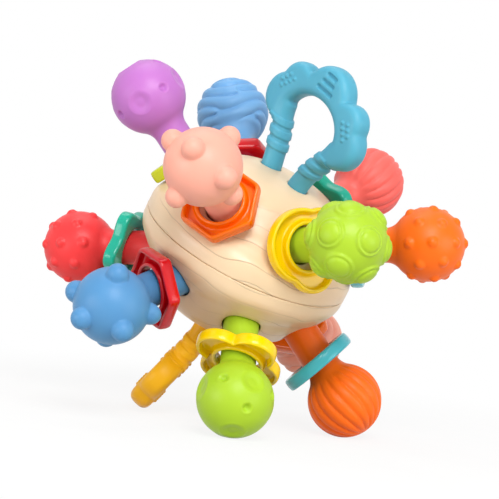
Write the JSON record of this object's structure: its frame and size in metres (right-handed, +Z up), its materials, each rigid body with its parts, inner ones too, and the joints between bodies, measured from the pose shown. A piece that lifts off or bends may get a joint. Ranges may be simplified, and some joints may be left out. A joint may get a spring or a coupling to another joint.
{
  "type": "rattle teether",
  "caption": "Baby's rattle teether: a cream two-part ball with soft textured balls on stems, a loose ring on each stem, two cloud-shaped handles and beads inside.",
  "frame": {"origin": "bottom centre of the bounding box, on the floor the toy lies on", "axes": "+Z up from the floor with the toy lying on two of its balls and the end of the yellow handle; -Y towards the viewer of the picture; +X to the viewer's right"},
  "size_m": [0.1582, 0.1494, 0.1353],
  "materials": {
    "cream_shell": "satin ABS",
    "white_plastic": "moulded",
    "screw_steel": "plated",
    "bead_plastic": "smooth",
    "soft_orange": "matte soft-touch",
    "ring_cyan": "glossy",
    "soft_green": "matte soft-touch",
    "ring_yellow": "glossy",
    "soft_pink": "matte soft-touch",
    "ring_orange": "glossy",
    "soft_purple": "matte soft-touch",
    "ring_lime": "glossy",
    "soft_blue": "matte soft-touch",
    "ring_red": "glossy",
    "soft_coral": "matte soft-touch",
    "ring_teal": "glossy",
    "soft_red": "matte soft-touch",
    "soft_sky_blue": "matte soft-touch",
    "soft_cyan": "matte soft-touch",
    "soft_amber": "matte soft-touch"
  },
  "bodies": {
    "body": {"upper_shell": "cream_shell", "lower_shell": "cream_shell", "upper_retainer": "white_plastic", "lower_retainer": "white_plastic", "upper_retainer_screw_1": "screw_steel", "upper_retainer_screw_2": "screw_steel", "upper_retainer_screw_3": "screw_steel", "lower_retainer_screw_1": "screw_steel", "lower_retainer_screw_2": "screw_steel", "lower_retainer_screw_3": "screw_steel"},
    "orange_stud_arm": {"orange_stud_arm": "soft_orange"},
    "upper_cyan_round_ring": {"upper_cyan_round_ring": "ring_cyan"},
    "green_target_arm": {"green_target_arm": "soft_green"},
    "upper_yellow_clover_ring": {"upper_yellow_clover_ring": "ring_yellow"},
    "pink_bump_arm": {"pink_bump_arm": "soft_pink"},
    "upper_orange_hexagon_ring": {"upper_orange_hexagon_ring": "ring_orange"},
    "purple_dimple_arm": {"purple_dimple_arm": "soft_purple"},
    "upper_lime_square_ring": {"upper_lime_square_ring": "ring_lime"},
    "blue_wave_arm": {"blue_wave_arm": "soft_blue"},
    "upper_red_hexagon_ring": {"upper_red_hexagon_ring": "ring_red"},
    "coral_ridge_arm": {"coral_ridge_arm": "soft_coral"},
    "upper_teal_star_ring": {"upper_teal_star_ring": "ring_teal"},
    "red_stud_arm": {"red_stud_arm": "soft_red"},
    "lower_teal_star_ring": {"lower_teal_star_ring": "ring_teal"},
    "blue_bump_arm": {"blue_bump_arm": "soft_sky_blue"},
    "lower_red_hexagon_ring": {"lower_red_hexagon_ring": "ring_red"},
    "green_dimple_arm": {"green_dimple_arm": "soft_green"},
    "lower_yellow_clover_ring": {"lower_yellow_clover_ring": "ring_yellow"},
    "orange_ridge_arm": {"orange_ridge_arm": "soft_orange"},
    "lower_cyan_round_ring": {"lower_cyan_round_ring": "ring_cyan"},
    "pink_wave_arm": {"pink_wave_arm": "soft_pink"},
    "lower_orange_hexagon_ring": {"lower_orange_hexagon_ring": "ring_orange"},
    "purple_target_arm": {"purple_target_arm": "soft_purple"},
    "lower_lime_square_ring": {"lower_lime_square_ring": "ring_lime"},
    "blue_cloud_handle": {"blue_cloud_handle": "soft_cyan"},
    "yellow_cloud_handle": {"yellow_cloud_handle": "soft_amber"},
    "rattle_beads": {"rattle_bead_1": "bead_plastic", "rattle_bead_2": "bead_plastic", "rattle_bead_3": "bead_plastic"}
  },
  "joints": [
    {"name": "orange_stud_flex", "type": "hinge", "parent": "body", "child": "orange_stud_arm", "pos_m": [0.03255, -0.00535, 0.06985], "axis": [0.1645, 0.2284, -0.9596], "range_deg": [-5, 5], "stiffness_Nm_per_rad": 0.6},
    {"name": "upper_cyan_round_slide", "type": "slide", "parent": "orange_stud_arm", "child": "upper_cyan_round_ring", "axis": [0.982, -0.1292, 0.1375], "range_m": [0, 0.01006]},
    {"name": "green_target_flex", "type": "hinge", "parent": "body", "child": "green_target_arm", "pos_m": [0.01666, -0.03001, 0.06908], "axis": [-0.0917, -0.1892, -0.9776], "range_deg": [-5, 5], "stiffness_Nm_per_rad": 0.6},
    {"name": "upper_yellow_clover_slide", "type": "slide", "parent": "green_target_arm", "child": "upper_yellow_clover_ring", "axis": [0.5192, -0.8469, 0.1152], "range_m": [0, 0.01022]},
    {"name": "pink_bump_flex", "type": "hinge", "parent": "body", "child": "pink_bump_arm", "pos_m": [-0.01009, -0.03089, 0.07938], "axis": [-0.5531, -0.2178, -0.8041], "range_deg": [-5, 5], "stiffness_Nm_per_rad": 0.6},
    {"name": "upper_orange_hexagon_slide", "type": "slide", "parent": "pink_bump_arm", "child": "upper_orange_hexagon_ring", "axis": [-0.2595, -0.8721, 0.4147], "range_m": [0, 0.01041]},
    {"name": "purple_dimple_flex", "type": "hinge", "parent": "body", "child": "purple_dimple_arm", "pos_m": [-0.02294, -0.00367, 0.09155], "axis": [-0.759, 0.2568, -0.5984], "range_deg": [-5, 5], "stiffness_Nm_per_rad": 0.6},
    {"name": "upper_lime_square_slide", "type": "slide", "parent": "purple_dimple_arm", "child": "upper_lime_square_ring", "axis": [-0.6337, -0.0802, 0.7694], "range_m": [0, 0.01017]},
    {"name": "blue_wave_flex", "type": "hinge", "parent": "body", "child": "blue_wave_arm", "pos_m": [-0.0075, 0.02068, 0.09105], "axis": [-0.4759, 0.6151, -0.6286], "range_deg": [-5, 5], "stiffness_Nm_per_rad": 0.6},
    {"name": "upper_red_hexagon_slide", "type": "slide", "parent": "blue_wave_arm", "child": "upper_red_hexagon_ring", "axis": [-0.1842, 0.6291, 0.7552], "range_m": [0, 0.00952]},
    {"name": "coral_ridge_flex", "type": "hinge", "parent": "body", "child": "coral_ridge_arm", "pos_m": [0.02131, 0.02011, 0.08031], "axis": [-0.0428, 0.6147, -0.7876], "range_deg": [-5, 5], "stiffness_Nm_per_rad": 0.6},
    {"name": "upper_teal_star_slide", "type": "slide", "parent": "coral_ridge_arm", "child": "upper_teal_star_ring", "axis": [0.6551, 0.6125, 0.4425], "range_m": [0, 0.00962]},
    {"name": "red_stud_flex", "type": "hinge", "parent": "body", "child": "red_stud_arm", "pos_m": [-0.03389, 0.00882, 0.06127], "axis": [0.1567, 0.1394, -0.9778], "range_deg": [-5, 5], "stiffness_Nm_per_rad": 0.6},
    {"name": "lower_teal_star_slide", "type": "slide", "parent": "red_stud_arm", "child": "lower_teal_star_ring", "axis": [-0.9524, 0.2835, -0.1123], "range_m": [-0.00254, 0.00085]},
    {"name": "blue_bump_flex", "type": "hinge", "parent": "body", "child": "blue_bump_arm", "pos_m": [-0.02424, -0.02399, 0.05261], "axis": [-0.1005, 0.5499, -0.8292], "range_deg": [-5, 5], "stiffness_Nm_per_rad": 0.6},
    {"name": "lower_red_hexagon_slide", "type": "slide", "parent": "blue_bump_arm", "child": "lower_red_hexagon_ring", "axis": [-0.6601, -0.6604, -0.358], "range_m": [-0.00105, 0.00194]},
    {"name": "green_dimple_flex", "type": "hinge", "parent": "body", "child": "green_dimple_arm", "pos_m": [0.00003, -0.02264, 0.03852], "axis": [-0.4202, 0.6934, -0.5853], "range_deg": [-5, 5], "stiffness_Nm_per_rad": 0.6},
    {"name": "lower_yellow_clover_slide", "type": "slide", "parent": "green_dimple_arm", "child": "lower_yellow_clover_ring", "axis": [0.0351, -0.6322, -0.774], "range_m": [-0.00569, 0]},
    {"name": "orange_ridge_flex", "type": "hinge", "parent": "body", "child": "orange_ridge_arm", "pos_m": [0.02049, -0.00277, 0.03857], "axis": [-0.7212, 0.3259, -0.6112], "range_deg": [-5, 5], "stiffness_Nm_per_rad": 0.6},
    {"name": "lower_cyan_round_slide", "type": "slide", "parent": "orange_ridge_arm", "child": "lower_cyan_round_ring", "axis": [0.6313, -0.0539, -0.7737], "range_m": [-0.00659, 0]},
    {"name": "pink_wave_flex", "type": "hinge", "parent": "body", "child": "pink_wave_arm", "pos_m": [0.01277, 0.02475, 0.04698], "axis": [-0.6591, -0.1613, -0.7346], "range_deg": [-5, 5], "stiffness_Nm_per_rad": 0.6},
    {"name": "lower_orange_hexagon_slide", "type": "slide", "parent": "pink_wave_arm", "child": "lower_orange_hexagon_ring", "axis": [0.4055, 0.7464, -0.5277], "range_m": [-0.01074, 0]},
    {"name": "purple_target_flex", "type": "hinge", "parent": "body", "child": "purple_target_arm", "pos_m": [-0.01395, 0.03056, 0.06007], "axis": [-0.1783, -0.2261, -0.9577], "range_deg": [-5, 5], "stiffness_Nm_per_rad": 0.6},
    {"name": "lower_lime_square_slide", "type": "slide", "parent": "purple_target_arm", "child": "lower_lime_square_ring", "axis": [-0.372, 0.9165, -0.1471], "range_m": [-0.01017, 0]},
    {"name": "blue_cloud_sway", "type": "hinge", "parent": "body", "child": "blue_cloud_handle", "pos_m": [0.00877, -0.00858, 0.09149], "axis": [0.6573, -0.6203, -0.4281], "range_deg": [-5, 5], "stiffness_Nm_per_rad": 0.8},
    {"name": "yellow_cloud_sway", "type": "hinge", "parent": "body", "child": "yellow_cloud_handle", "pos_m": [-0.01112, 0.00675, 0.03876], "axis": [-0.1899, -0.9597, -0.2074], "range_deg": [-5, 5], "stiffness_Nm_per_rad": 0.8},
    {"name": "rattle_beads_slide", "type": "slide", "parent": "body", "child": "rattle_beads", "axis": [0.3404, -0.2625, 0.9029], "range_m": [0, 0.03]}
  ]
}
